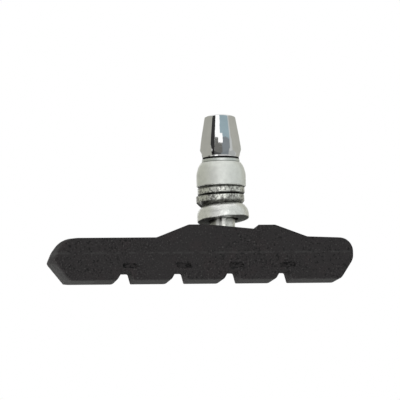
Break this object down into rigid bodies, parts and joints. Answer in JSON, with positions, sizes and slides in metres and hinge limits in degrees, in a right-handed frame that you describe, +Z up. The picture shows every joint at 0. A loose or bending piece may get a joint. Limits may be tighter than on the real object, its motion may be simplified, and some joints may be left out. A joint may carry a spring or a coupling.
{
  "type": "bicycle rim brake pad",
  "caption": "Notched rubber rim brake pad on a threaded stud, with dome and cup washers that let it be angled and a tapered hexagonal cap nut that clamps it to a brake arm.",
  "frame": {"origin": "middle of the friction face, on the centre block, in the plane where the pad meets the rim", "axes": "+X along the pad from its pointed nose to its rounded heel, +Y across the pad, +Z up the stud, away from the rim"},
  "size_m": [0.0697, 0.0122, 0.0385],
  "materials": {
    "pad_rubber": "matte moulded rubber compound, faintly speckled",
    "plate_steel": "plain steel strip",
    "stud_steel": "bright zinc plated steel",
    "cup_alloy": "satin turned light alloy",
    "dome_steel": "mottled zinc plated steel",
    "washer_steel": "bright zinc plated steel",
    "nut_chrome": "polished chrome plating"
  },
  "bodies": {
    "root": {"brake_pad": "pad_rubber", "backing_plate": "plate_steel", "stud": "stud_steel", "inner_cup_washer": "cup_alloy", "inner_dome_washer": "dome_steel", "outer_dome_washer": "dome_steel", "outer_cup_washer": "cup_alloy", "flat_washer": "washer_steel", "cap_nut": "nut_chrome"}
  },
  "joints": []
}
